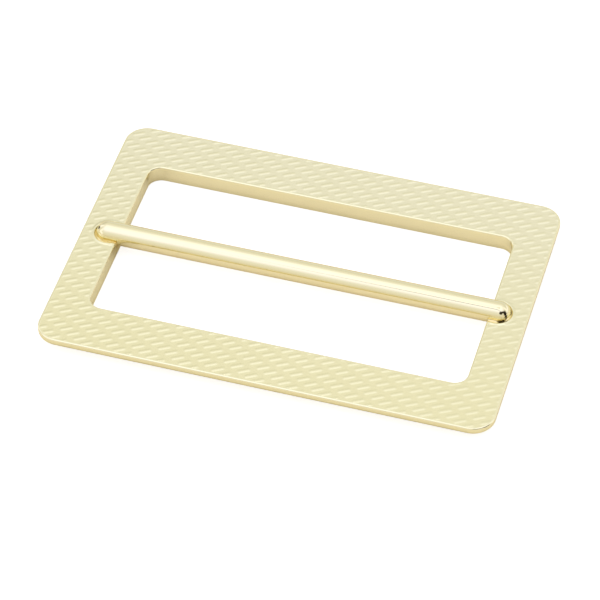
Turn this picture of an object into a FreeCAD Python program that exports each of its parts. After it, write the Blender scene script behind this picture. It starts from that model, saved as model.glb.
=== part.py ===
import FreeCAD, Part
import os

# Flat strap slider: a cast rectangular frame with one round centre bar.
# The bar's domed ends lie in two round pockets in the frame's short rails and are soldered there.
# Millimetres. The origin is the centre of the frame's underside, +X runs along the long rails
# and the bar, +Y across the rails, and +Z points up out of the face that the bar lies in.

# Frame
STRAP_WIDTH = 50.0          # webbing width that the window takes, so also the window's length
WINDOW_WIDTH = 27.0
SHORT_RAIL = 5.05           # width of the two rails that carry the bar
LONG_RAIL = 7.1
THICKNESS = 2.4
OUTER_CORNER_R = 3.0
WINDOW_CORNER_R = 1.8
RIM_ROUND = 0.2             # soft edge round the top face and the window's mouth
WINDOW_BACK_ROUND = 0.15

# Bevel round the frame's back
EDGE_WALL = 0.92            # height of the upright outer wall left above the bevel
BEVEL_INSET = 2.4
SHOULDER_ROUND = 0.5        # where the outer wall turns into the bevel
BACK_ROUND = 0.3            # where the bevel meets the flat underside

# Bar
BAR_D = 3.0
BAR_LENGTH = 55.8           # over its domed ends
BAR_SINK = 0.1              # the bar's axis lies this far below the top face
BAR_SHIFT = -0.25           # the bar and its pockets sit a little to the left of centre

# Pockets and solder
POCKET_R = 1.95             # ball-shaped recess centred in the plane of the top face
TROUGH_R = 1.7              # round trough that leads from the window into the recess
POCKET_SPAN = 52.3          # from one pocket's centre to the other's
POCKET_Y = -0.12            # the pockets sit a little in front of the bar's axis
SOLDER_DEPTH = 0.4          # the solder's surface lies this far below the bar's axis

FRAME_LENGTH = STRAP_WIDTH + 2 * SHORT_RAIL
FRAME_WIDTH = WINDOW_WIDTH + 2 * LONG_RAIL
BEVEL_HEIGHT = THICKNESS - EDGE_WALL
BAR_Z = THICKNESS - BAR_SINK
SOLDER_TOP = BAR_Z - SOLDER_DEPTH
CUT_MARGIN = 1.0            # how far cutting tools reach past the solid that they cut
TINY = 0.001


def rounded_wire(length, width, radius, z):
    """Closed outline of a rectangle with round corners, centred on the Z axis."""
    base = Part.makePlane(length, width, FreeCAD.Vector(-length / 2, -width / 2, z))
    block = base.extrude(FreeCAD.Vector(0, 0, 1))
    upright = [e for e in block.Edges if abs(e.tangentAt(e.FirstParameter).z) > 0.9]
    rounded = block.makeFillet(radius, upright)
    floor = min(rounded.Faces, key=lambda face: face.CenterOfMass.z)
    return floor.OuterWire


def rounded_block(length, width, radius, z, height):
    face = Part.Face(rounded_wire(length, width, radius, z))
    return face.extrude(FreeCAD.Vector(0, 0, height))


def edges_at_height(shape, z):
    """Edges that lie wholly in the level plane z."""
    return [
        e for e in shape.Edges
        if abs(e.BoundBox.ZMin - z) < TINY and abs(e.BoundBox.ZMax - z) < TINY
    ]


def is_outer(edge):
    """True for an edge of the outer outline, and false for one of the window's."""
    box = edge.BoundBox
    reach_x = max(abs(box.XMin), abs(box.XMax))
    reach_y = max(abs(box.YMin), abs(box.YMax))
    return reach_x > STRAP_WIDTH / 2 + TINY or reach_y > WINDOW_WIDTH / 2 + TINY


def make_plate():
    """The frame before its pockets: bevelled back, window and soft edges."""
    back = rounded_wire(
        FRAME_LENGTH - 2 * BEVEL_INSET,
        FRAME_WIDTH - 2 * BEVEL_INSET,
        OUTER_CORNER_R - BEVEL_INSET,
        0,
    )
    shoulder = rounded_wire(FRAME_LENGTH, FRAME_WIDTH, OUTER_CORNER_R, BEVEL_HEIGHT)
    bevel = Part.makeLoft([back, shoulder], True, True)
    wall = rounded_block(FRAME_LENGTH, FRAME_WIDTH, OUTER_CORNER_R, BEVEL_HEIGHT, EDGE_WALL)
    window = rounded_block(
        STRAP_WIDTH, WINDOW_WIDTH, WINDOW_CORNER_R, -CUT_MARGIN, THICKNESS + 2 * CUT_MARGIN
    )
    plate = bevel.fuse(wall).removeSplitter().cut(window)
    plate = plate.makeFillet(SHOULDER_ROUND, edges_at_height(plate, BEVEL_HEIGHT))
    outer_back = [e for e in edges_at_height(plate, 0) if is_outer(e)]
    plate = plate.makeFillet(BACK_ROUND, outer_back)
    window_back = [e for e in edges_at_height(plate, 0) if not is_outer(e)]
    plate = plate.makeFillet(WINDOW_BACK_ROUND, window_back)
    return plate.makeFillet(RIM_ROUND, edges_at_height(plate, THICKNESS))


def make_pocket(side):
    """Solid that cuts one pocket. side is -1 for the left rail and 1 for the right."""
    centre_x = BAR_SHIFT + side * POCKET_SPAN / 2
    ball = Part.makeSphere(POCKET_R, FreeCAD.Vector(centre_x, POCKET_Y, THICKNESS))
    mouth_x = side * (STRAP_WIDTH / 2 - CUT_MARGIN)
    trough = Part.makeCylinder(
        TROUGH_R,
        abs(centre_x - mouth_x),
        FreeCAD.Vector(mouth_x, POCKET_Y, BAR_Z),
        FreeCAD.Vector(side, 0, 0),
    )
    return ball.fuse(trough)


def make_bar():
    radius = BAR_D / 2
    straight = BAR_LENGTH - BAR_D
    start = FreeCAD.Vector(BAR_SHIFT - straight / 2, 0, BAR_Z)
    end = FreeCAD.Vector(BAR_SHIFT + straight / 2, 0, BAR_Z)
    rod = Part.makeCylinder(radius, straight, start, FreeCAD.Vector(1, 0, 0))
    domes = [Part.makeSphere(radius, start), Part.makeSphere(radius, end)]
    return rod.fuse(domes).removeSplitter()


def make_frame():
    plate = make_plate()
    for side in (-1, 1):
        plate = plate.cut(make_pocket(side))
    return plate


def make_solder(side, bar):
    """Solder that fills one pocket under and beside the bar, flush with the window's wall."""
    rail = Part.makeBox(
        SHORT_RAIL,
        2 * POCKET_R,
        SOLDER_TOP,
        FreeCAD.Vector(STRAP_WIDTH / 2, POCKET_Y - POCKET_R, 0),
    )
    if side < 0:
        rail = rail.mirror(FreeCAD.Vector(0, 0, 0), FreeCAD.Vector(1, 0, 0))
    return make_pocket(side).common(rail).cut(bar)


def main():
    os.makedirs("parts", exist_ok=True)
    bar = make_bar()
    pieces = {
        "frame": make_frame(),
        "bar": bar,
        "left_solder": make_solder(-1, bar),
        "right_solder": make_solder(1, bar),
    }
    for name, shape in pieces.items():
        if not shape.isValid():
            raise ValueError(f"{name} is not a valid solid")
        shape.exportStep(f"parts/{name}.step")
        print(name, shape.Volume, shape.BoundBox, len(shape.Solids))


main()
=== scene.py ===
import math

import bpy
import numpy as np
from mathutils import Euler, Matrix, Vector
from mathutils.geometry import delaunay_2d_cdt


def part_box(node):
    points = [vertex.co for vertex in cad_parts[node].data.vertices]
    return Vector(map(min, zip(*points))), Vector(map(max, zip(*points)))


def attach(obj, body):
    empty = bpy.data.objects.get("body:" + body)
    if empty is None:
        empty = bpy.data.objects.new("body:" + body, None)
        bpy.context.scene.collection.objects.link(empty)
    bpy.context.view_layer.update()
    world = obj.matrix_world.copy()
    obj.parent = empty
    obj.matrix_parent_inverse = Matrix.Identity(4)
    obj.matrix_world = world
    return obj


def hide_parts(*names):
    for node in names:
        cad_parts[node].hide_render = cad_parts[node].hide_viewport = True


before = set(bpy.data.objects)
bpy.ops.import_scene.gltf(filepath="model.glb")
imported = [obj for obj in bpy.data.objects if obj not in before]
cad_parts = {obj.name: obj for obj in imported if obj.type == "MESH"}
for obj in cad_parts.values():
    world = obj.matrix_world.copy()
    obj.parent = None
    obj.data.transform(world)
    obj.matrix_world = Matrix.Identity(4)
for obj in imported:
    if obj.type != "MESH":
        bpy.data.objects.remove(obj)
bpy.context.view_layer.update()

# Metres throughout. The frame is a flat ring with a rectangular window. The bar lies across the
# window in two round pockets, and the frame's face carries rows of short raised strokes.
MM = 0.001

frame_high = Vector(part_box("frame")[1])
bar_low, bar_high = (Vector(corner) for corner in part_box("bar"))
FACE_Z = frame_high.z
HALF_LENGTH = frame_high.x
HALF_WIDTH = frame_high.y

# Frame, with the sizes that the CAD model has
WINDOW_X = 25.0 * MM
WINDOW_Y = 13.5 * MM
OUTER_CORNER_R = 3.0 * MM
WINDOW_CORNER_R = 1.8 * MM
RIM_ROUND = 0.2 * MM
WINDOW_BACK_ROUND = 0.15 * MM
BEVEL_INSET = 2.4 * MM
BEVEL_HEIGHT = FACE_Z - 0.92 * MM
SHOULDER_ROUND = 0.5 * MM
BACK_ROUND = 0.3 * MM
FACE_START = 0.03 * MM              # the flat face begins this far inside each rim's rounding
FACE_INSET = RIM_ROUND + FACE_START
BACK_INSET = BEVEL_INSET + 1.5 * BACK_ROUND     # where the flat underside begins
WINDOW_BACK_INSET = 2 * WINDOW_BACK_ROUND

# Bar
BAR_R = (bar_high.z - bar_low.z) / 2
BAR_Z = (bar_high.z + bar_low.z) / 2
BAR_X = (bar_high.x + bar_low.x) / 2
BAR_STRAIGHT = (bar_high.x - bar_low.x) / 2 - BAR_R     # half of its length between the domes
BAR_UNEVEN = 0.001                  # share of its radius by which the surface wavers
TWIST_LENGTH = 7.3 * MM             # lengths over which its two slight waves turn by one radian
WAVE_LENGTH = 3.1 * MM
WAVE_START = 0.6

# Pockets
POCKET_R = 1.95 * MM
TROUGH_R = 1.7 * MM
POCKET_SPAN = 52.3 * MM
POCKET_Y = -0.12 * MM
POCKET_ROUND = 0.15 * MM
LIP_HEIGHT = 0.06 * MM              # low lip round each pocket
LIP_END = 0.5 * MM
LIP_WIDTH = 0.35 * MM

# Visible surface of the solder
FILLET_TOP = FACE_Z - 0.12 * MM     # where it meets the pocket and the bar
FILLET_DIP = 0.16 * MM              # how far it sags between them
FILLET_FOOT = FACE_Z - 0.48 * MM    # just above the top of the solder bed
FILLET_UNDER = FILLET_FOOT - 0.03 * MM      # the underside, just inside the solder bed
FILLET_OVERLAP = 0.02 * MM          # how far it runs into the pocket's wall and the bar
FILLET_START = 0.03 * MM            # how far it stays behind the window's wall
FILLET_ROWS = 17
CREVICE_DEPTH = 0.35 * MM
CREVICE_EDGE = 0.15                 # share of the gap's width over which a crevice opens
SWELL_RISE = 0.35                   # share of the gap's width over which a swell rises
SIDE_FADE = 1.5                     # half widths at which a crevice or a swell has ended

# Crevices between the solder and the bar's ends: (direction from the pocket's outer end in degrees,
# half width, share of the gap that is open). The direction is positive towards the slider's back.
# Swells are given in the same way, with how far the solder stands above its usual surface or,
# where negative, below it.
LEFT_GAPS = [(24, 8, 0.6)]
LEFT_SWELLS = [(60, 30, 0.08 * MM), (-105, 42, -0.12 * MM)]
RIGHT_GAPS = [(46, 36, 0.42), (-54, 17, 0.7)]
RIGHT_SWELLS = [(20, 60, 0.12 * MM)]

# Painted dark reflections in the bar's material: a dark line on its right end and a dark fleck on its left
# end
MARK_SOFTNESS = 0.04 * MM
MARK_SHARE = 0.96
LINE_WAY = Vector((0.643, 0.766, 0))    # across the line
LINE_HALF_WIDTH = 0.12 * MM
LINE_TOP = FACE_Z + 0.80 * MM
LINE_TOP_FADE = 0.1 * MM
LINE_START = 0.3 * MM               # the line fades in between these distances along the right dome
LINE_FULL = 0.6 * MM
FLECK_MIDDLE = Vector((-27.66, -0.46, 3.27)) * MM
FLECK_R = 0.21 * MM

# Strokes on the face: each is a smooth raised capsule, and they stand on a slanting lattice
STROKE_HEIGHT = 0.037 * MM
RIGHT_WEAR = 0.24                   # share of that height that is missing at the front right
WEAR_END = 0.9                      # the wear ends at this share of the way to the far edge
STROKE_HALF_WIDTH = 0.40 * MM
STROKE_CORE = 0.60 * MM             # half of the stroke's straight middle part
STROKE_ANGLE = math.radians(29.5)
ROW_STEP = Vector((1.0886, -0.5803)) * MM
LINE_STEP = Vector((2.1620, 1.2368)) * MM
PATTERN_ORIGIN = Vector((-0.22, -0.91)) * MM
PLAIN_BORDER = 0.15 * MM            # strokes fade out over this width beside each edge

# Mesh density
STATION = 0.25 * MM                 # spacing of the points along the rims
ACROSS_ROWS = 12                    # grid steps in each lattice cell, across and along the strokes
ALONG_ROWS = 14
GRID_SPARE = 1.4                    # how far the grid reaches past the frame's corners
GRID_GAP = 0.05 * MM                # least distance from the grid to the face's edges
ROUND_STEPS = 4
CORNER_STEPS = 20
BAR_AROUND = 96
DOME_STEPS = 20
BAR_STATIONS = 160
POCKET_ARC_POINTS = 73              # on each curve round a pocket, and on each straight end of it
POCKET_LEAD_POINTS = 4
FILLET_ARC_POINTS = 81
FILLET_LEAD_POINTS = 5
CLOSING_STEPS = 30                  # steps in which the gap between pocket and bar is measured
# Distances from a pocket's outline, outward positive, at which the face's mesh has a curve
POCKET_CURVES = [
    share * MM for share in (
        0.5, 0.42, 0.35, 0.28, 0.21, 0.15, 0.12, 0.08, 0.04, 0.015,
        0, -0.01, -0.04, -0.1, -0.2, -0.4, -0.7, -1.1, -1.5,
    )
]
SLOPE_REACH = 0.004 * MM            # how far to each side the face's slope is measured
ARC_GAP = 0.02 * MM                 # least distance from the window's edge to a curve's arc
SLACK = 0.002 * MM                  # kept when the triangles over the window are dropped
LEAST_NORMAL = 0.01                 # keeps a short normal from being divided by nothing
MERGE_MM = 1e-5                     # points closer than this, in millimetres, become one
TINY = 1e-8
FAR_AWAY = 1.0                      # distance from a pocket that isn't near

# Colours of the plating. A pair is blended by a cloudy noise.
# The back's colour is paler and bluer than the front's: a painted change of reflected light across the
# face, not the plating's own colour
FRONT_GOLD = ((0.895, 0.84, 0.535), (0.92, 0.865, 0.57))
BACK_GOLD = ((0.895, 0.845, 0.61), (0.92, 0.875, 0.65))
# Painted shade that darkens the ring's walls low down
LOW_WALL_SHADE_GOLD = (0.73, 0.68, 0.42)
# Rims and strokes' crests: rubbed plating, lightened further as a painted highlight
RUBBED_GOLD_AND_SHEEN = (0.93, 0.88, 0.61)
BAR_GOLD = ((0.90, 0.825, 0.545), (0.92, 0.85, 0.58))
DRAWING_SCALE = (60, 4000, 4000)    # of the bar's drawing marks: long ones along X
DARK_REFLECTION_COLOUR = (0.05, 0.035, 0.015)
SOLDER_GOLD = ((0.84, 0.68, 0.32), (0.91, 0.79, 0.45))
# Painted shade inside the solder's crevices
CREVICE_SHADE_COLOUR = (0.06, 0.045, 0.02)
STROKE_RUB = 0.5                    # how far the strokes' crests are rubbed and lightened by painted highlight, where the rims are 1
RUB_SMOOTHING = 0.06                # roughness that a fully rubbed place loses
OUTER_WALL = 0.5 * MM               # width beside the outline that counts as the outer wall
OUTER_LOW = (1.95 * MM, 1.5 * MM)   # heights between which painted shade darkens the outer wall downwards
WINDOW_LOW = (0.9 * MM, 0.1 * MM)   # the same inside the outline, so on the window's walls
WINDOW_LOW_SHARE = 0.45

# Light tent, as its colour at elevations in degrees
FAR_TENT = [
    (-30, (0.62, 0.55, 0.43)),
    (-3, (0.72, 0.68, 0.60)),
    (10, (0.83, 0.87, 0.90)),
    (25, (0.80, 0.79, 0.71)),
    (36, (0.85, 0.85, 0.79)),
    (44, (0.89, 0.89, 0.85)),
    (48, (0.92, 0.905, 0.85)),
    (56, (0.98, 0.99, 1.02)),
    (66, (1.14, 1.16, 1.22)),
    (80, (1.36, 1.38, 1.45)),
]
NEAR_TENT = [
    (-30, (0.62, 0.54, 0.42)),
    (-3, (0.74, 0.67, 0.50)),
    (14, (0.86, 0.83, 0.74)),
    (33, (0.90, 0.90, 0.88)),
    (44, (1.00, 1.01, 1.10)),
    (54, (1.18, 1.17, 1.38)),
    (66, (1.23, 1.22, 1.46)),
    (80, (1.34, 1.36, 1.47)),
]

# Parts of the studio, as soft regions of the sky. A region is the product of its edges, each (part
# of the direction, where the region is gone, where it is full). The parts "right", "far" and "up"
# are the direction's own along +X, +Y and +Z, and sky_parts() works out the others from these:
SEAM_WAY = (0.50, 0.79, 0.355)      # square to the seam
COLUMN_WAY = (0.259, 0.966, 0)      # square to the column
LENS_WAY = (0.42, -0.66, 0.60)      # towards the lens
ARM_UP = 0.60                       # the arm's middle
FAR_HALF = [("far", -0.25, 0.25)]
OVERHEAD = [("up", 0.985, 0.995)]
SHADED_WALL = [("right", -0.2, -0.48), ("far", 0.2, 0.5), ("up", 0.68, 0.45)]
RIGHT_PANEL = [("right", 0.30, 0.60), ("up", -0.02, 0.12), ("far", -0.5, -0.2), ("off_middle", 0.12, 0.24)]
LEFT_PANEL = [("right", -0.45, -0.75), ("up", -0.02, 0.12), ("far", 0.62, 0.40), ("off_middle", 0.12, 0.24)]
PANEL_CORNERS = [("off_middle", 0.40, 0.55), ("up", 0.28, 0.40)]    # high corners that panels lack
SEAM = [("off_seam", 0.05, 0.02), ("right", -0.23, -0.14), ("right", 0.50, 0.40)]
COLUMN = [("off_column", 0.29, 0.21), ("up", 0.66, 0.58), ("right", 0.3, 0.5)]
ARM = [("off_arm", 0.16, 0.10), ("far", -0.62, -0.50), ("far", -0.14, -0.24), ("right", 0.3, 0.42)]
LENS = [("lens", 0.950, 0.970)]
OVERHEAD_COLOUR = (0.88, 0.88, 0.86)
SHADED_COLOUR = (0.60, 0.57, 0.46)
SHADED_SHARE = 0.5
RIGHT_PANEL_COLOUR = (1.14, 1.14, 1.20)
LEFT_PANEL_COLOUR = (1.16, 1.16, 1.24)
SEAM_COLOUR = (0.42, 0.44, 0.42)
DARK_COLOUR = (0.03, 0.02, 0.01)
DARK_SHARE = 0.98

# Stage
STAGE_HALF = 3.0
STAGE_HEIGHT = 2.0
STAGE_GREY = (0.5, 0.5, 0.5)
STAGE_ROUGHNESS = 0.8
LIGHT_TABLE_GLOW = 0.78
BACKDROP_GLOW = 1.0
WARM_TABLE_COLOUR = (0.99, 0.90, 0.70)
WARM_TABLE_Z = -0.02 * MM           # just below the light table, which only the camera sees

# Camera
CAMERA_AZIMUTH = math.radians(16.138)
CAMERA_ELEVATION = math.radians(45.884)
CAMERA_DISTANCE = 416.63 * MM
CAMERA_AIM = Vector((1.044 * MM, -5.061 * MM, FACE_Z))
CAMERA_LENS = 194.5
CAMERA_SENSOR = 36
CAMERA_RANGE = (0.01, 20)


# ---------------------------------------------------------------- outlines and profiles

def outline(half_x, half_y, radius, side_ys):
    """Points and outward normals round a rectangle with round corners, counter-clockwise."""
    flat_x = half_x - radius
    side_xs = np.linspace(-flat_x, flat_x, round(2 * flat_x / STATION) + 1)
    turns = np.linspace(0, math.pi / 2, CORNER_STEPS + 1)[1:-1]
    points, normals = [], []
    sides = (
        [(half_x, y) for y in side_ys],
        [(x, half_y) for x in side_xs[::-1]],
        [(-half_x, y) for y in side_ys[::-1]],
        [(x, -half_y) for x in side_xs],
    )
    for quarter, side in enumerate(sides):
        start = quarter * math.pi / 2
        normal = (round(math.cos(start)), round(math.sin(start)))
        points += side
        normals += [normal] * len(side)
        centre_x = flat_x if quarter in (0, 3) else -flat_x
        centre_y = (half_y - radius) if quarter in (0, 1) else -(half_y - radius)
        for turn in turns + start:
            way = (math.cos(turn), math.sin(turn))
            points.append((centre_x + radius * way[0], centre_y + radius * way[1]))
            normals.append(way)
    return np.array(points), np.array(normals)


def plain_side(half_y, radius):
    flat_y = half_y - radius
    return np.linspace(-flat_y, flat_y, round(2 * flat_y / STATION) + 1)


def pocketed_side(half_y, radius):
    """As plain_side, with points wherever one of a pocket's curves meets the window's edge."""
    flat_y = half_y - radius
    reach = TROUGH_R + POCKET_CURVES[0] + STATION / 2
    past = np.linspace(reach, flat_y, round((flat_y - reach) / STATION) + 1)
    inside = np.array([TROUGH_R + distance for distance in POCKET_CURVES])
    half = np.concatenate([np.sort(inside), past])
    stretch = (flat_y + POCKET_Y * np.array([[1], [-1]]) - reach) / (flat_y - reach)
    both = np.where(half > reach, reach + (half - reach) * stretch, half)
    return np.concatenate([POCKET_Y - both[0, ::-1], POCKET_Y + both[1]])


def rounded_profile(corners, radii):
    """A path through corners, each (inset, height), with every inner corner rounded.

    Returns its points and its normals, which point out of the metal.
    """
    path, normals = [], []
    for before, at, after, radius in zip(corners, corners[1:], corners[2:], radii, strict=False):
        at = np.array(at)
        back = np.array(before) - at
        on = np.array(after) - at
        back /= np.linalg.norm(back)
        on /= np.linalg.norm(on)
        half_angle = math.acos(float(back @ on)) / 2
        middle = (back + on) / np.linalg.norm(back + on)
        centre = at + middle * radius / math.sin(half_angle)
        start = at + back * radius / math.tan(half_angle) - centre
        end = at + on * radius / math.tan(half_angle) - centre
        turn = math.pi - 2 * half_angle
        for k in range(ROUND_STEPS + 1):
            share = k / ROUND_STEPS
            arm = (start * math.sin((1 - share) * turn) + end * math.sin(share * turn)) / math.sin(turn)
            path.append(centre + arm)
            normals.append(arm / radius)
    path = [np.array(corners[0]), *path, np.array(corners[-1])]
    normals = [normals[0], *normals, normals[-1]]
    return np.array(path), np.array(normals)


def outline_distance(x, y, half_x, half_y, radius):
    """Signed distance to a rectangle with round corners, negative inside it."""
    qx = np.abs(x) - (half_x - radius)
    qy = np.abs(y) - (half_y - radius)
    return np.hypot(np.maximum(qx, 0), np.maximum(qy, 0)) + np.minimum(np.maximum(qx, qy), 0) - radius


# ---------------------------------------------------------------- relief of the face

def smooth(x):
    x = np.clip(x, 0, 1)
    return x * x * (3 - 2 * x)


def stroke_share(x, y):
    """Height of the raised strokes above the face's ground, from 0 to 1."""
    steps = np.array([[ROW_STEP.x, LINE_STEP.x], [ROW_STEP.y, LINE_STEP.y]])
    to_lattice = np.linalg.inv(steps)
    px = x - PATTERN_ORIGIN.x
    py = y - PATTERN_ORIGIN.y
    row = np.round(to_lattice[0, 0] * px + to_lattice[0, 1] * py)
    line = np.round(to_lattice[1, 0] * px + to_lattice[1, 1] * py)
    along_x, along_y = math.cos(STROKE_ANGLE), math.sin(STROKE_ANGLE)
    height = np.zeros_like(x)
    for i in (-1, 0, 1):
        for j in (-1, 0, 1):
            dx = px - steps[0, 0] * (row + i) - steps[0, 1] * (line + j)
            dy = py - steps[1, 0] * (row + i) - steps[1, 1] * (line + j)
            along = np.maximum(np.abs(dx * along_x + dy * along_y) - STROKE_CORE, 0)
            across = dy * along_x - dx * along_y
            reach = np.clip(np.hypot(along, across) / STROKE_HALF_WIDTH, 0, 1)
            height = np.maximum(height, (1 + np.cos(math.pi * reach)) / 2)
    return height


def pocket_surface(x, y):
    """Height of the pockets' surfaces, and the distance in plan outside their outlines."""
    floor = np.full_like(x, FACE_Z)
    outside = np.full_like(x, FAR_AWAY)
    for side in (-1, 1):
        centre_x = BAR_X + side * POCKET_SPAN / 2
        from_centre = np.hypot(x - centre_x, y - POCKET_Y)
        ball = FACE_Z - np.sqrt(np.maximum(POCKET_R**2 - from_centre**2, 0))
        leads_in = ((x - centre_x) * side < 0) & (x * side > 0)
        aside = np.abs(y - POCKET_Y)
        trough = BAR_Z - np.sqrt(np.maximum(TROUGH_R**2 - aside**2, 0))
        trough = np.where(leads_in & (aside < TROUGH_R), trough, FACE_Z)
        floor = np.minimum(floor, np.minimum(ball, trough))
        past_trough = np.where(leads_in, aside - TROUGH_R, FAR_AWAY)
        outside = np.minimum(outside, np.minimum(from_centre - POCKET_R, past_trough))
    return floor, outside


def face_relief(x, y):
    """Height of the frame's face with its strokes and pockets, and the strokes' share of it."""
    inset = -outline_distance(x, y, HALF_LENGTH, HALF_WIDTH, OUTER_CORNER_R)
    offset = outline_distance(x, y, WINDOW_X, WINDOW_Y, WINDOW_CORNER_R)
    floor, outside = pocket_surface(x, y)
    from_rim = np.minimum(inset, offset) - RIM_ROUND
    fade = smooth(from_rim / PLAIN_BORDER) * smooth((outside - LIP_END / 2) / PLAIN_BORDER)
    strokes = stroke_share(x, y) * fade
    wear = RIGHT_WEAR * smooth(x / HALF_LENGTH) * smooth(WEAR_END - y / HALF_WIDTH)
    stroke_height = STROKE_HEIGHT * (1 - wear)
    near = np.clip(POCKET_ROUND - outside, 0, POCKET_ROUND)
    rounding = POCKET_ROUND - np.sqrt(POCKET_ROUND**2 - near**2)
    lip = LIP_HEIGHT * smooth((LIP_END - outside) / LIP_WIDTH) * smooth(from_rim / LIP_WIDTH)
    rim_z = FACE_Z + lip - POCKET_ROUND
    face_z = FACE_Z + stroke_height * strokes + lip - rounding
    return np.where(outside >= -TINY, face_z, np.minimum(rim_z, floor)), strokes


def face_normals(x, y):
    """Normals of the face's relief, from its slope."""
    rise_x = face_relief(x + SLOPE_REACH, y)[0] - face_relief(x - SLOPE_REACH, y)[0]
    rise_y = face_relief(x, y + SLOPE_REACH)[0] - face_relief(x, y - SLOPE_REACH)[0]
    normals = np.stack([-rise_x, -rise_y, np.full_like(x, 2 * SLOPE_REACH)], -1)
    return normals / np.linalg.norm(normals, axis=-1, keepdims=True)


def pocket_curve(side, distance):
    """One curve beside a pocket's outline, from the window's edge round the pocket and back."""
    centre_x = BAR_X + side * POCKET_SPAN / 2
    radius = POCKET_R + distance
    half = TROUGH_R + distance
    mouth = WINDOW_X + FACE_INSET
    meet = math.asin(min(half / radius, 1))
    end_x = abs(centre_x) - radius * math.cos(meet)
    straight = np.array([mouth])
    if end_x > mouth:
        straight = np.linspace(mouth, end_x, POCKET_LEAD_POINTS, endpoint=False)
    turns = np.linspace(meet - math.pi, math.pi - meet, POCKET_ARC_POINTS)
    arc_x = abs(centre_x) + radius * np.cos(turns)
    arc_y = radius * np.sin(turns)
    keep = arc_x > mouth + ARC_GAP
    xs = np.concatenate([straight, arc_x[keep], straight[::-1]])
    ys = np.concatenate([np.full(len(straight), -half), arc_y[keep], np.full(len(straight), half)])
    return np.stack([side * xs, POCKET_Y + ys], -1)


# ---------------------------------------------------------------- meshes

def sweep(points, ways, path, normals):
    """Vertices and normals of a profile carried round an outline. ways point into the metal."""
    rows = points[None] + ways[None] * path[:, None, :1]
    heights = np.broadcast_to(path[:, None, 1:], (*rows.shape[:2], 1))
    sides = ways[None] * normals[:, None, :1]
    ups = np.broadcast_to(normals[:, None, 1:], (*rows.shape[:2], 1))
    return np.concatenate([rows, heights], -1), np.concatenate([sides, ups], -1)


def open_pocket_mouths(rows, normals):
    """Lowers the window's rim where a pocket opens into it, and squeezes the wall below."""
    x, y, z = rows[..., 0], rows[..., 1], rows[..., 2]
    edge_x, edge_y = x[0], y[0]
    drop = np.minimum(face_relief(edge_x, edge_y)[0] - FACE_Z, 0)
    on_rim = z >= FACE_Z - RIM_ROUND - TINY
    share = np.clip((z - WINDOW_BACK_ROUND) / (FACE_Z - RIM_ROUND - WINDOW_BACK_ROUND), 0, 1)
    rows[..., 2] = np.where(on_rim, z + drop, z + drop * share)
    tilt = face_normals(edge_x, edge_y)
    in_mouth = (drop < -TINY) & on_rim
    leaning = normals * (1, 1, 0) + tilt[None] * normals[..., 2:]
    leaning /= np.maximum(np.linalg.norm(leaning, axis=-1, keepdims=True), LEAST_NORMAL)
    normals[:] = np.where(in_mouth[..., None], leaning, normals)


def face_points():
    """Points for the face's mesh: a grid that follows the strokes' lattice."""
    reach = math.hypot(HALF_LENGTH, HALF_WIDTH)
    rows = int(reach / ROW_STEP.length * GRID_SPARE) * ACROSS_ROWS
    lines = int(reach / LINE_STEP.length * GRID_SPARE) * ALONG_ROWS
    i, j = np.meshgrid(np.arange(-rows, rows), np.arange(-lines, lines), indexing="ij")
    x = PATTERN_ORIGIN.x + ROW_STEP.x * i / ACROSS_ROWS + LINE_STEP.x * j / ALONG_ROWS
    y = PATTERN_ORIGIN.y + ROW_STEP.y * i / ACROSS_ROWS + LINE_STEP.y * j / ALONG_ROWS
    least = FACE_INSET + GRID_GAP
    keep = -outline_distance(x, y, HALF_LENGTH, HALF_WIDTH, OUTER_CORNER_R) > least
    keep &= outline_distance(x, y, WINDOW_X, WINDOW_Y, WINDOW_CORNER_R) > least
    keep &= pocket_surface(x, y)[1] > POCKET_CURVES[0] + GRID_GAP
    return np.stack([x[keep], y[keep]], -1)


def fill_ring(loops, curves, loose, margin):
    """Triangles between an outer and a window loop, through the curves and the loose points.

    margin is how far the window's loop lies from the window's outline. Returns the points added to
    the two loops' own, and the triangles, which index into the loops' points and then the added ones.
    """
    points = [tuple(p) for loop in loops for p in loop]
    edges = []
    first = 0
    for loop in loops:
        edges += [(first + k, first + (k + 1) % len(loop)) for k in range(len(loop))]
        first += len(loop)
    own = len(points)
    for curve in curves:
        edges += [(len(points) + k, len(points) + k + 1) for k in range(len(curve) - 1)]
        points += [tuple(p) for p in curve]
    points += [tuple(p) for p in loose]
    found = delaunay_2d_cdt([Vector(p) / MM for p in points], edges, [], 0, MERGE_MM)
    verts, _, faces, origins = found[:4]
    index = np.array([min(ids) if ids else -1 for ids in origins])
    plan = np.array([tuple(v) for v in verts]) * MM
    triangles = np.array(faces)
    middle = plan[triangles].mean(axis=1)
    offset = outline_distance(middle[:, 0], middle[:, 1], WINDOW_X, WINDOW_Y, WINDOW_CORNER_R)
    triangles = triangles[offset > margin - SLACK]
    added = np.flatnonzero((index < 0) | (index >= own))
    target = index.copy()
    target[added] = own + np.arange(len(added))
    return plan[added], target[triangles]


def strip_quads(rows, columns, first, wrap=True):
    """Quads between neighbouring rows of a grid whose vertices start at first."""
    across = columns if wrap else columns - 1
    row, column = np.meshgrid(np.arange(rows - 1), np.arange(across), indexing="ij")
    at = first + row * columns + column
    right = first + row * columns + (column + 1) % columns
    return np.stack([at, right, right + columns, at + columns], -1).reshape(-1, 4).tolist()


def mesh_object(name, points, faces, material, replaced=()):
    mesh = bpy.data.meshes.new(name)
    mesh.from_pydata(points.tolist(), [], faces)
    mesh.shade_smooth()
    mesh.materials.append(material)
    made = bpy.data.objects.new(name, mesh)
    bpy.context.scene.collection.objects.link(made)
    if replaced:
        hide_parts(*replaced)
    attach(made, "root")
    return made


def point_layer(made, name, values):
    """Stores one value for each vertex, which the materials read by its name."""
    layer = made.data.attributes.new(name, "FLOAT", "POINT")
    layer.data.foreach_set("value", values.astype(np.float32))


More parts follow.
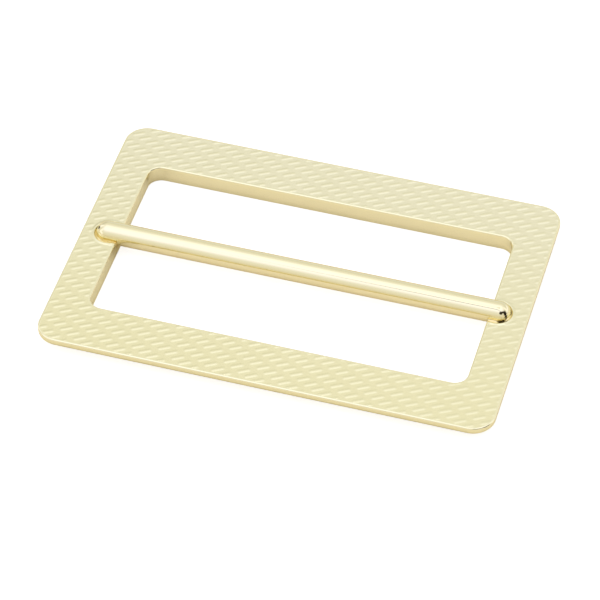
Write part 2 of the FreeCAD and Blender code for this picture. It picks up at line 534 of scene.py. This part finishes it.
def frame_sides():
    """The ring's outer and window sides, each as rows of points and the points' normals."""
    outer, outer_normals = outline(
        HALF_LENGTH, HALF_WIDTH, OUTER_CORNER_R, plain_side(HALF_WIDTH, OUTER_CORNER_R)
    )
    window, window_normals = outline(
        WINDOW_X, WINDOW_Y, WINDOW_CORNER_R, pocketed_side(WINDOW_Y, WINDOW_CORNER_R)
    )
    outer_path = rounded_profile(
        [(FACE_INSET, FACE_Z), (0, FACE_Z), (0, BEVEL_HEIGHT), (BEVEL_INSET, 0), (BACK_INSET, 0)],
        [RIM_ROUND, SHOULDER_ROUND, BACK_ROUND],
    )
    window_path = rounded_profile(
        [(FACE_INSET, FACE_Z), (0, FACE_Z), (0, 0), (WINDOW_BACK_INSET, 0)],
        [RIM_ROUND, WINDOW_BACK_ROUND],
    )
    outer_rows, outer_ups = sweep(outer, -outer_normals, *outer_path)
    window_rows, window_ups = sweep(window, window_normals, *window_path)
    open_pocket_mouths(window_rows, window_ups)
    return outer_rows, outer_ups, window_rows, window_ups


def make_frame(material):
    """The patterned ring: two swept sides, joined by the face and the flat underside."""
    outer_rows, outer_ups, window_rows, window_ups = frame_sides()
    n_outer, n_window = outer_rows.shape[1], window_rows.shape[1]
    window_first = len(outer_rows) * n_outer
    top_first = window_first + len(window_rows) * n_window

    curves = [pocket_curve(side, distance) for side in (-1, 1) for distance in POCKET_CURVES]
    top_loops = (outer_rows[0, :, :2], window_rows[0, :, :2])
    top, top_faces = fill_ring(top_loops, curves, face_points(), FACE_INSET)
    under_loops = (outer_rows[-1, :, :2], window_rows[-1, :, :2])
    _, under_faces = fill_ring(under_loops, [], [], WINDOW_BACK_INSET)
    top_z, top_strokes = face_relief(top[:, 0], top[:, 1])
    points = np.concatenate([
        outer_rows.reshape(-1, 3),
        window_rows.reshape(-1, 3),
        np.column_stack([top, top_z]),
    ])
    ups = np.concatenate([
        outer_ups.reshape(-1, 3),
        window_ups.reshape(-1, 3),
        face_normals(top[:, 0], top[:, 1]),
    ])

    top_vertices = np.concatenate([
        np.arange(n_outer),
        np.arange(window_first, window_first + n_window),
        np.arange(top_first, top_first + len(top)),
    ])
    under_vertices = np.concatenate([
        np.arange(window_first - n_outer, window_first),
        np.arange(top_first - n_window, top_first),
    ])
    faces = [face[::-1] for face in strip_quads(len(outer_rows), n_outer, 0)]
    faces += strip_quads(len(window_rows), n_window, window_first)
    faces += top_vertices[top_faces].tolist()
    faces += under_vertices[under_faces[:, ::-1]].tolist()

    made = mesh_object("frame_cast", points, faces, material, ["frame"])
    made.data.normals_split_custom_set_from_vertices(ups.tolist())
    strokes = np.zeros(len(points))
    strokes[top_first:] = top_strokes
    point_layer(made, "stroke", strokes)
    rim_rows = ROUND_STEPS + 2
    rim = np.zeros(len(points))
    rim[:rim_rows * n_outer] = 1
    rim[window_first:window_first + rim_rows * n_window] = 1
    point_layer(made, "rim", rim)


def make_bar(material):
    """The round bar with its domed ends, very slightly uneven along its length."""
    dome = np.linspace(0, math.pi / 2, DOME_STEPS, endpoint=False)[1:]
    profile = [(-BAR_STRAIGHT - BAR_R * math.cos(a), BAR_R * math.sin(a)) for a in dome]
    profile += [(x, BAR_R) for x in np.linspace(-BAR_STRAIGHT, BAR_STRAIGHT, BAR_STATIONS)]
    profile += [(BAR_STRAIGHT + BAR_R * math.cos(a), BAR_R * math.sin(a)) for a in dome[::-1]]
    profile = np.array(profile)
    angle = np.arange(BAR_AROUND) / BAR_AROUND * 2 * math.pi
    x = BAR_X + profile[:, :1] * np.ones(BAR_AROUND)
    waves = np.sin(x / TWIST_LENGTH + 2 * angle) * np.sin(x / WAVE_LENGTH + WAVE_START)
    radius = profile[:, 1:] * (1 - BAR_UNEVEN * (1 + waves))
    y = radius * np.sin(angle)
    z = BAR_Z + radius * np.cos(angle)
    points = np.stack([x, y, z], -1).reshape(-1, 3)
    faces = [face[::-1] for face in strip_quads(len(profile), BAR_AROUND, 0)]
    left_tip = len(points)
    right_tip = left_tip + 1
    last = left_tip - BAR_AROUND
    for k in range(BAR_AROUND):
        after = (k + 1) % BAR_AROUND
        faces.append([left_tip, after, k])
        faces.append([right_tip, last + k, last + after])
    points = np.concatenate([points, [[bar_low.x, 0, BAR_Z], [bar_high.x, 0, BAR_Z]]])
    mesh_object("centre_bar", points, faces, material, ["bar"])


def bar_clearance(points, height):
    """Distance in plan from points to the bar's section at a height."""
    radius = math.sqrt(BAR_R**2 - (height - BAR_Z) ** 2)
    past_end = np.maximum(np.abs(points[:, 0] - BAR_X) - BAR_STRAIGHT, 0)
    return np.hypot(past_end, points[:, 1]) - radius


def gap_to_bar(points, ways, height):
    """How far the bar is from each point along its way, found by steps that close in on it."""
    gap = np.zeros(len(points))
    for _ in range(CLOSING_STEPS):
        gap += bar_clearance(points + ways * gap[:, None], height)
    return gap


def pocket_side_points(side, height):
    """Points on a pocket's surface at one height, and their inward directions in plan."""
    centre_x = BAR_X + side * POCKET_SPAN / 2
    radius = math.sqrt(POCKET_R**2 - (FACE_Z - height) ** 2)
    half = math.sqrt(TROUGH_R**2 - (BAR_Z - height) ** 2)
    meet = math.pi - math.asin(min(half / radius, 1))
    start_x = WINDOW_X + FILLET_START
    end_x = abs(centre_x) + radius * math.cos(meet)
    lead = np.linspace(start_x, end_x, FILLET_LEAD_POINTS, endpoint=False)
    turns = np.linspace(-meet, meet, FILLET_ARC_POINTS)
    arc = np.stack([np.cos(turns), np.sin(turns)], -1)
    points = np.concatenate([
        np.stack([lead, np.full(FILLET_LEAD_POINTS, -half)], -1),
        (abs(centre_x), 0) + radius * arc,
        np.stack([lead[::-1], np.full(FILLET_LEAD_POINTS, half)], -1),
    ])
    ways = np.concatenate([
        np.tile((0.0, 1.0), (FILLET_LEAD_POINTS, 1)),
        -arc,
        np.tile((0.0, -1.0), (FILLET_LEAD_POINTS, 1)),
    ])
    return points * (side, 1) + (0, POCKET_Y), ways * (side, 1)


def near_direction(turn, direction, half_width):
    """1 about one direction round a pocket, falling smoothly to 0 on either side of it."""
    return smooth(SIDE_FADE - np.abs(turn - direction) / half_width)


def fillet_surface(turn, share, gaps, swells):
    """Heights along one row of the solder's surface, and how far each point is in a crevice.

    turn is each point's direction from the pocket's centre in degrees, and share is how far the row
    is on the way from the pocket's wall, at 0, to the bar, at 1.
    """
    hollow = np.zeros(len(turn))
    for direction, half_width, open_part in gaps:
        in_gap = smooth((share - 1 + open_part) / CREVICE_EDGE + 0.5)
        hollow = np.maximum(hollow, near_direction(turn, direction, half_width) * in_gap)
    swell = np.zeros(len(turn))
    for direction, half_width, height in swells:
        swell += height * near_direction(turn, direction, half_width) * smooth(share / SWELL_RISE)
    sag = (FILLET_DIP - swell) * (1 - (2 * share - 1) ** 2)
    height = FILLET_TOP - sag + swell - CREVICE_DEPTH * hollow
    return np.maximum(height, FILLET_FOOT), hollow


def make_fillet(name, side, gaps, swells, material):
    """Solder that fills the gap between a pocket and the bar, with a sagging surface.

    Where a crevice is open, the surface drops away beside the bar. The underside lies inside the
    CAD model's solder bed, which stays visible below it.
    """
    wall, ways = pocket_side_points(side, FILLET_TOP)
    gap = gap_to_bar(wall, ways, FILLET_TOP)
    centre_x = BAR_X + side * POCKET_SPAN / 2
    turn = np.degrees(np.arctan2(wall[:, 1] - POCKET_Y, (wall[:, 0] - centre_x) * side))
    rows = []
    hollows = []
    for share in np.linspace(0, 1, FILLET_ROWS):
        plan = wall + ways * (gap * share + FILLET_OVERLAP * (2 * share - 1))[:, None]
        height, hollow = fillet_surface(turn, share, gaps, swells)
        rows.append(np.column_stack([plan, height]))
        hollows.append(hollow)
    foot, foot_ways = pocket_side_points(side, FILLET_FOOT)
    foot_gap = gap_to_bar(foot, foot_ways, FILLET_FOOT)
    for share in (1, 0.5, 0):
        plan = foot + foot_ways * (foot_gap * share + FILLET_OVERLAP * (2 * share - 1))[:, None]
        rows.append(np.column_stack([plan, np.full(len(plan), FILLET_UNDER)]))
        hollows.append(np.zeros(len(plan)))

    rows = np.array(rows)
    count = rows.shape[1]
    faces = strip_quads(len(rows), count, 0, wrap=False)
    last = (len(rows) - 1) * count
    faces += [[last + k, last + k + 1, k + 1, k] for k in range(count - 1)]
    faces.append([k * count for k in range(len(rows))])
    faces.append([k * count + count - 1 for k in reversed(range(len(rows)))])
    if side > 0:
        faces = [face[::-1] for face in faces]
    made = mesh_object(name, rows.reshape(-1, 3), faces, material)
    point_layer(made, "hollow", np.concatenate(hollows))


# ---------------------------------------------------------------- materials

def material_with_nodes(name):
    made = bpy.data.materials.new(name)
    made.use_nodes = True
    return made, made.node_tree, made.node_tree.nodes["Principled BSDF"]


def noise(tree, vector, scale, detail):
    node = tree.nodes.new("ShaderNodeTexNoise")
    node.inputs["Scale"].default_value = scale
    node.inputs["Detail"].default_value = detail
    tree.links.new(vector, node.inputs["Vector"])
    return node.outputs["Fac"]


def value_range(tree, source, low, high):
    node = tree.nodes.new("ShaderNodeMapRange")
    node.inputs["To Min"].default_value = low
    node.inputs["To Max"].default_value = high
    tree.links.new(source, node.inputs["Value"])
    return node.outputs["Result"]


def calculate(tree, operation, first, second):
    """One step of arithmetic on sockets or numbers."""
    node = tree.nodes.new("ShaderNodeMath")
    node.operation = operation
    for socket, value in zip(node.inputs, (first, second), strict=False):
        if isinstance(value, (int, float)):
            socket.default_value = value
        else:
            tree.links.new(value, socket)
    return node.outputs["Value"]


def step(tree, source, start, end):
    """Smooth step from 0 at start to 1 at end."""
    node = tree.nodes.new("ShaderNodeMapRange")
    node.interpolation_type = "SMOOTHSTEP"
    node.inputs["From Min"].default_value = start
    node.inputs["From Max"].default_value = end
    tree.links.new(source, node.inputs["Value"])
    return node.outputs["Result"]


def attribute(tree, name):
    """The vertex values that point_layer stored under a name."""
    node = tree.nodes.new("ShaderNodeAttribute")
    node.attribute_name = name
    return node.outputs["Fac"]


def product(tree, first, *others):
    """Product of sockets and numbers."""
    for other in others:
        first = calculate(tree, "MULTIPLY", first, other)
    return first


def largest(tree, first, *others):
    """Largest of some sockets and numbers."""
    for other in others:
        first = calculate(tree, "MAXIMUM", first, other)
    return first


def size_of(tree, source):
    """A socket's value without its sign."""
    return calculate(tree, "ABSOLUTE", source, 0)


def along(tree, vector, way):
    """How far a direction or a place reaches along way."""
    node = tree.nodes.new("ShaderNodeVectorMath")
    node.operation = "DOT_PRODUCT"
    tree.links.new(vector, node.inputs[0])
    node.inputs[1].default_value = Vector(way).normalized()
    return node.outputs["Value"]


def distance_from(tree, place, middle):
    node = tree.nodes.new("ShaderNodeVectorMath")
    node.operation = "DISTANCE"
    tree.links.new(place, node.inputs[0])
    node.inputs[1].default_value = middle
    return node.outputs["Value"]


def colour_mix(tree, share, first, second):
    """Blends two colours, each an (r, g, b) or a socket."""
    node = tree.nodes.new("ShaderNodeMix")
    node.data_type = "RGBA"
    tree.links.new(share, node.inputs["Factor"])
    # A mix node has sockets of each name for every data type, and these are the ones for colours
    first_colour, second_colour, result = node.inputs[6], node.inputs[7], node.outputs[2]
    for socket, colour in ((first_colour, first), (second_colour, second)):
        if isinstance(colour, tuple):
            socket.default_value = (*colour, 1)
        else:
            tree.links.new(colour, socket)
    return result


def add_bump(tree, shader, height, distance):
    node = tree.nodes.new("ShaderNodeBump")
    node.inputs["Distance"].default_value = distance
    tree.links.new(height, node.inputs["Height"])
    tree.links.new(node.outputs["Normal"], shader.inputs["Normal"])


def patterned_gold():
    """Satin pale gold plating, paler towards the back as a painted change of reflected light, and darker
    low on the ring's walls as painted shade.

    Strokes and rims are rubbed a little smoother, and lighter partly from the rubbing and partly as a
    painted highlight.
    """
    made, tree, shader = material_with_nodes("patterned_gold")
    place = tree.nodes.new("ShaderNodeTexCoord").outputs["Object"]
    axes = tree.nodes.new("ShaderNodeSeparateXYZ")
    tree.links.new(place, axes.inputs["Vector"])
    x, y, z = axes.outputs
    cloud = noise(tree, place, scale=180, detail=3)
    front = colour_mix(tree, cloud, *FRONT_GOLD)
    back = colour_mix(tree, cloud, *BACK_GOLD)
    # painted change of reflected light: the plating turns paler towards the back
    tone = colour_mix(tree, step(tree, y, -HALF_WIDTH, HALF_WIDTH), front, back)

    # painted shade, darker low on the outer wall and on the window's walls
    outer_x = step(tree, size_of(tree, x), HALF_LENGTH - OUTER_WALL, HALF_LENGTH)
    outer_y = step(tree, size_of(tree, y), HALF_WIDTH - OUTER_WALL, HALF_WIDTH)
    outer_low = product(tree, largest(tree, outer_x, outer_y), step(tree, z, *OUTER_LOW))
    window_low = product(tree, step(tree, z, *WINDOW_LOW), WINDOW_LOW_SHARE)
    tone = colour_mix(tree, largest(tree, outer_low, window_low), tone, LOW_WALL_SHADE_GOLD)

    # rims and crests: rubbed, and lightened as a painted highlight
    on_stroke = value_range(tree, attribute(tree, "stroke"), low=0, high=STROKE_RUB)
    worn_and_sheen = largest(tree, on_stroke, attribute(tree, "rim"))
    tree.links.new(colour_mix(tree, worn_and_sheen, tone, RUBBED_GOLD_AND_SHEEN), shader.inputs["Base Color"])
    shader.inputs["Metallic"].default_value = 1
    grain = noise(tree, place, scale=5200, detail=2)
    satin = value_range(tree, grain, low=0.17, high=0.27)
    smoother = product(tree, worn_and_sheen, RUB_SMOOTHING)
    tree.links.new(calculate(tree, "SUBTRACT", satin, smoother), shader.inputs["Roughness"])
    add_bump(tree, shader, grain, distance=0.0012 * MM)
    return made


def painted_dark_reflections(tree, place):
    """Painted dark reflections: a dark line down the bar's right end to the solder, and a dark fleck on its
    left end.
    """
    dome_x = BAR_X + BAR_STRAIGHT
    through_dome = Vector((dome_x, 0, 0)).dot(LINE_WAY)
    off_line = size_of(tree, calculate(tree, "SUBTRACT", along(tree, place, LINE_WAY), through_dome))
    line = product(
        tree,
        step(tree, off_line, LINE_HALF_WIDTH + MARK_SOFTNESS, LINE_HALF_WIDTH - MARK_SOFTNESS),
        step(tree, along(tree, place, (0, 0, 1)), LINE_TOP + LINE_TOP_FADE, LINE_TOP),
        step(tree, along(tree, place, (1, 0, 0)), dome_x + LINE_START, dome_x + LINE_FULL),
    )
    from_fleck = distance_from(tree, place, FLECK_MIDDLE)
    fleck = step(tree, from_fleck, FLECK_R + MARK_SOFTNESS, FLECK_R - MARK_SOFTNESS)
    return product(tree, largest(tree, line, fleck), MARK_SHARE)


def polished_gold():
    """Bright gold plating with faint drawing marks along the bar, and painted dark reflections on its ends.
    """
    made, tree, shader = material_with_nodes("polished_gold")
    place = tree.nodes.new("ShaderNodeTexCoord").outputs["Object"]
    stretch = tree.nodes.new("ShaderNodeMapping")
    stretch.inputs["Scale"].default_value = DRAWING_SCALE
    tree.links.new(place, stretch.inputs["Vector"])
    drawn = noise(tree, stretch.outputs["Vector"], scale=1, detail=3)
    tone = colour_mix(tree, noise(tree, place, scale=260, detail=2), *BAR_GOLD)
    # painted dark reflections on the bar's ends
    marked = colour_mix(tree, painted_dark_reflections(tree, place), tone, DARK_REFLECTION_COLOUR)
    tree.links.new(marked, shader.inputs["Base Color"])
    shader.inputs["Metallic"].default_value = 1
    tree.links.new(value_range(tree, drawn, low=0.06, high=0.13), shader.inputs["Roughness"])
    add_bump(tree, shader, drawn, distance=0.0005 * MM)
    return made


def plated_solder():
    """Slightly lumpy solder under a richer gold plating, with painted shade that makes its crevices nearly
    black.
    """
    made, tree, shader = material_with_nodes("plated_solder")
    place = tree.nodes.new("ShaderNodeTexCoord").outputs["Object"]
    lumps = noise(tree, place, scale=2400, detail=4)
    tone = colour_mix(tree, lumps, *SOLDER_GOLD)
    # painted shade in the crevices, by the stored hollow share
    darkened = colour_mix(tree, attribute(tree, "hollow"), tone, CREVICE_SHADE_COLOUR)
    tree.links.new(darkened, shader.inputs["Base Color"])
    shader.inputs["Metallic"].default_value = 1
    tree.links.new(value_range(tree, lumps, low=0.16, high=0.34), shader.inputs["Roughness"])
    add_bump(tree, shader, lumps, distance=0.012 * MM)
    return made


# ---------------------------------------------------------------- studio

def ramp(tree, share, stops):
    """Colour ramp over the elevation's sine. stops are (elevation in degrees, (r, g, b)).

    share is that sine brought from -1..1 to 0..1, as the ramp's own positions are.
    """
    node = tree.nodes.new("ShaderNodeValToRGB")
    tree.links.new(share, node.inputs["Fac"])
    elements = node.color_ramp.elements
    while len(elements) < len(stops):
        elements.new(0.5)
    for element, (elevation, colour) in zip(elements, stops, strict=True):
        element.position = (math.sin(math.radians(elevation)) + 1) / 2
        element.color = (*colour, 1)
    return node.outputs["Color"]


def sky_parts(tree):
    """The parts of a direction that the studio's regions are measured by, each as a socket."""
    direction = tree.nodes.new("ShaderNodeTexCoord").outputs["Generated"]
    parts = {
        "right": along(tree, direction, (1, 0, 0)),
        "far": along(tree, direction, (0, 1, 0)),
        "up": along(tree, direction, (0, 0, 1)),
        "off_seam": size_of(tree, along(tree, direction, SEAM_WAY)),
        "off_column": size_of(tree, along(tree, direction, COLUMN_WAY)),
        "lens": along(tree, direction, LENS_WAY),
    }
    parts["off_middle"] = size_of(tree, parts["far"])
    parts["off_arm"] = size_of(tree, calculate(tree, "SUBTRACT", parts["up"], ARM_UP))
    return parts


def region(tree, parts, edges):
    """Share of a soft region of the sky, from 0 outside it to 1 inside it."""
    return product(tree, *[step(tree, parts[part], gone, full) for part, gone, full in edges])


def make_world():
    """A light tent, as the metal reflects it.

    It is brighter upwards, with a dimmer patch straight overhead, a shaded wall far left, bright
    panels left and right and a grey seam. A dark column, arm and lens stand to the right, and the
    bar's right end mirrors them.
    """
    world = bpy.data.worlds.new("light_tent")
    world.use_nodes = True
    bpy.context.scene.world = world
    tree = world.node_tree
    parts = sky_parts(tree)
    share = calculate(tree, "ADD", product(tree, parts["up"], 0.5), 0.5)
    near = ramp(tree, share, NEAR_TENT)
    far = ramp(tree, share, FAR_TENT)
    tent = colour_mix(tree, region(tree, parts, FAR_HALF), near, far)

    tent = colour_mix(tree, region(tree, parts, OVERHEAD), tent, OVERHEAD_COLOUR)
    shaded = product(tree, region(tree, parts, SHADED_WALL), SHADED_SHARE)
    tent = colour_mix(tree, shaded, tent, SHADED_COLOUR)
    below_corners = calculate(tree, "SUBTRACT", 1, region(tree, parts, PANEL_CORNERS))
    panels = ((RIGHT_PANEL, RIGHT_PANEL_COLOUR), (LEFT_PANEL, LEFT_PANEL_COLOUR))
    for edges, colour in panels:
        panel = product(tree, region(tree, parts, edges), below_corners)
        tent = colour_mix(tree, panel, tent, colour)
    tent = colour_mix(tree, region(tree, parts, SEAM), tent, SEAM_COLOUR)
    dark = largest(tree, *[region(tree, parts, edges) for edges in (COLUMN, ARM, LENS)])
    tent = colour_mix(tree, product(tree, dark, DARK_SHARE), tent, DARK_COLOUR)
    tree.links.new(tent, tree.nodes["Background"].inputs["Color"])


def square(half, height):
    return [(-half, -half, height), (half, -half, height), (half, half, height), (-half, half, height)]


def make_sheet(name, points, faces, colour, glow):
    """One or more flat sheets, with a plain material that can glow."""
    mesh = bpy.data.meshes.new(name)
    mesh.from_pydata(points, [], faces)
    sheet = bpy.data.objects.new(name, mesh)
    bpy.context.scene.collection.objects.link(sheet)
    material = bpy.data.materials.new(name)
    material.use_nodes = True
    shader = material.node_tree.nodes["Principled BSDF"]
    shader.inputs["Base Color"].default_value = (*colour, 1)
    shader.inputs["Roughness"].default_value = STAGE_ROUGHNESS
    shader.inputs["Specular IOR Level"].default_value = 0
    shader.inputs["Emission Color"].default_value = (1, 1, 1, 1)
    shader.inputs["Emission Strength"].default_value = glow
    mesh.materials.append(material)
    return sheet


def only_camera_sees(sheet):
    sheet.visible_glossy = False
    sheet.visible_diffuse = False
    sheet.visible_shadow = False
    sheet.visible_transmission = False


def make_stage():
    """A white sheet and backdrop that the camera sees, and a warmer sheet that the metal reflects."""
    floor = [(0, 1, 2, 3)]
    walls = [(k, (k + 1) % 4, (k + 1) % 4 + 4, k + 4) for k in range(4)]
    wall_points = square(STAGE_HALF, 0) + square(STAGE_HALF, STAGE_HEIGHT)
    only_camera_sees(make_sheet("light_table", square(STAGE_HALF, 0), floor, STAGE_GREY, LIGHT_TABLE_GLOW))
    only_camera_sees(make_sheet("backdrop", wall_points, walls, STAGE_GREY, BACKDROP_GLOW))
    table = make_sheet("warm_table", square(STAGE_HALF, WARM_TABLE_Z), floor, WARM_TABLE_COLOUR, 0)
    table.visible_camera = False


def make_camera():
    """Camera in front of the object, a little to its right, looking down at it."""
    back = Vector((
        math.sin(CAMERA_AZIMUTH) * math.cos(CAMERA_ELEVATION),
        -math.cos(CAMERA_AZIMUTH) * math.cos(CAMERA_ELEVATION),
        math.sin(CAMERA_ELEVATION),
    ))
    camera = bpy.data.objects.new("camera", bpy.data.cameras.new("camera"))
    bpy.context.scene.collection.objects.link(camera)
    camera.location = CAMERA_AIM + back * CAMERA_DISTANCE
    camera.rotation_euler = Euler((math.pi / 2 - CAMERA_ELEVATION, 0, CAMERA_AZIMUTH))
    camera.data.lens = CAMERA_LENS
    camera.data.sensor_width = CAMERA_SENSOR
    camera.data.clip_start, camera.data.clip_end = CAMERA_RANGE
    bpy.context.scene.camera = camera


def main():
    make_frame(patterned_gold())
    make_bar(polished_gold())
    solder = plated_solder()
    for name in ("left_solder", "right_solder"):
        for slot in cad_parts[name].material_slots:
            slot.material = solder
    make_fillet("left_fillet", -1, LEFT_GAPS, LEFT_SWELLS, solder)
    make_fillet("right_fillet", 1, RIGHT_GAPS, RIGHT_SWELLS, solder)
    make_world()
    make_stage()
    make_camera()
    bpy.context.scene.view_settings.view_transform = "Standard"


main()
